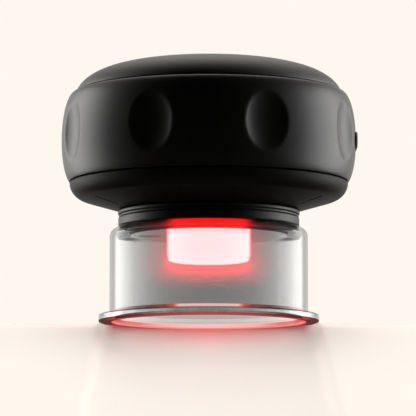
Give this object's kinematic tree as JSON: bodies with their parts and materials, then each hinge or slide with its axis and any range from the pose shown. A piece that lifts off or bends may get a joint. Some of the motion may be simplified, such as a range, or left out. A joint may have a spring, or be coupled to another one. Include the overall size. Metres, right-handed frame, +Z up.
{
  "type": "electric cupping massager",
  "caption": "Handheld electric cupping massager: round black head with finger dimples on a clear suction cup with a red lamp.",
  "frame": {"origin": "centre of the clear cup's rim, in the plane it stands on", "axes": "+Z up through the cup and the head, -Y towards the front that the picture shows, +X towards the side button"},
  "size_m": [0.0905, 0.09, 0.0796],
  "materials": {
    "clear_cup": "clear, polished, light frosting inside",
    "shell_black": "satin black",
    "cap_black": "fine satin black",
    "key_black": "matt black",
    "display_glass": "gloss black",
    "lamp_diffuser": "frosted, glows red",
    "red_led": "clear red",
    "circuit_board": "green solder mask",
    "bright_steel": "plain bright steel",
    "motor_can": "drawn steel can",
    "battery_wrap": "blue shrink wrap on a metal can",
    "grey_rubber": "soft grey rubber",
    "silicone_hose": "milky silicone",
    "white_plastic": "plain white moulding",
    "red_lead": "red wire insulation",
    "dark_plastic": "plain dark moulding"
  },
  "bodies": {
    "cup": {"clear_cup": "clear_cup"},
    "head": {"battery_cell": "battery_wrap", "battery_lead": "red_lead", "battery_strap": "bright_steel", "board_screw_1": "bright_steel", "board_screw_2": "bright_steel", "board_screw_3": "bright_steel", "bottom_housing": "shell_black", "charging_socket": "bright_steel", "control_board": "circuit_board", "cup_hose": "silicone_hose", "display_module": "dark_plastic", "display_window": "display_glass", "grip_ring": "shell_black", "heat_switch": "dark_plastic", "inner_tray": "white_plastic", "lamp_board": "circuit_board", "lamp_lead": "red_lead", "lamp_led_1": "red_led", "lamp_led_2": "red_led", "lamp_led_3": "red_led", "lamp_led_4": "red_led", "lamp_screw_1": "bright_steel", "lamp_screw_2": "bright_steel", "lamp_screw_3": "bright_steel", "lamp_window": "lamp_diffuser", "motor_lead": "red_lead", "motor_strap": "bright_steel", "neck_housing": "shell_black", "neck_screw_1": "bright_steel", "neck_screw_2": "bright_steel", "neck_screw_3": "bright_steel", "plug_seal": "grey_rubber", "power_switch": "dark_plastic", "pump_cover": "dark_plastic", "pump_diaphragm": "grey_rubber", "pump_head": "dark_plastic", "pump_hose": "silicone_hose", "pump_motor": "motor_can", "side_board": "circuit_board", "side_switch": "dark_plastic", "socket_board": "circuit_board", "suction_filter": "white_plastic", "suction_switch": "dark_plastic", "top_cap": "cap_black", "tray_screw_1": "bright_steel", "tray_screw_2": "bright_steel", "tray_screw_3": "bright_steel", "valve_body": "white_plastic", "valve_spring": "bright_steel"},
    "heat_key": {"heat_key": "key_black"},
    "power_key": {"power_key": "key_black"},
    "pump_rotor": {"pump_rotor": "bright_steel"},
    "side_button": {"side_button": "key_black"},
    "suction_key": {"suction_key": "key_black"},
    "valve_plunger": {"valve_plunger": "bright_steel"}
  },
  "joints": [
    {"name": "head_lift", "type": "slide", "parent": "cup", "child": "head", "axis": [0, 0, 1], "range_m": [0, 0.02]},
    {"name": "suction_key_press", "type": "slide", "parent": "head", "child": "suction_key", "axis": [0, 0, -1], "range_m": [0, 0.00025], "stiffness_N_per_m": 500, "springref_m": -0.0004},
    {"name": "power_key_press", "type": "slide", "parent": "head", "child": "power_key", "axis": [0, 0, -1], "range_m": [0, 0.00025], "stiffness_N_per_m": 500, "springref_m": -0.0004},
    {"name": "heat_key_press", "type": "slide", "parent": "head", "child": "heat_key", "axis": [0, 0, -1], "range_m": [0, 0.00025], "stiffness_N_per_m": 500, "springref_m": -0.0004},
    {"name": "side_button_press", "type": "slide", "parent": "head", "child": "side_button", "axis": [-1, 0, 0], "range_m": [0, 0.00025], "stiffness_N_per_m": 500, "springref_m": -0.0004},
    {"name": "pump_spin", "type": "hinge", "parent": "head", "child": "pump_rotor", "pos_m": [0, -0.01423, 0.05724], "axis": [1, 0, 0], "continuous": true},
    {"name": "valve_pull", "type": "slide", "parent": "head", "child": "valve_plunger", "axis": [0, 0, -1], "range_m": [0, 0.001], "stiffness_N_per_m": 200, "springref_m": -0.001, "deforming": ["valve_spring"]}
  ]
}
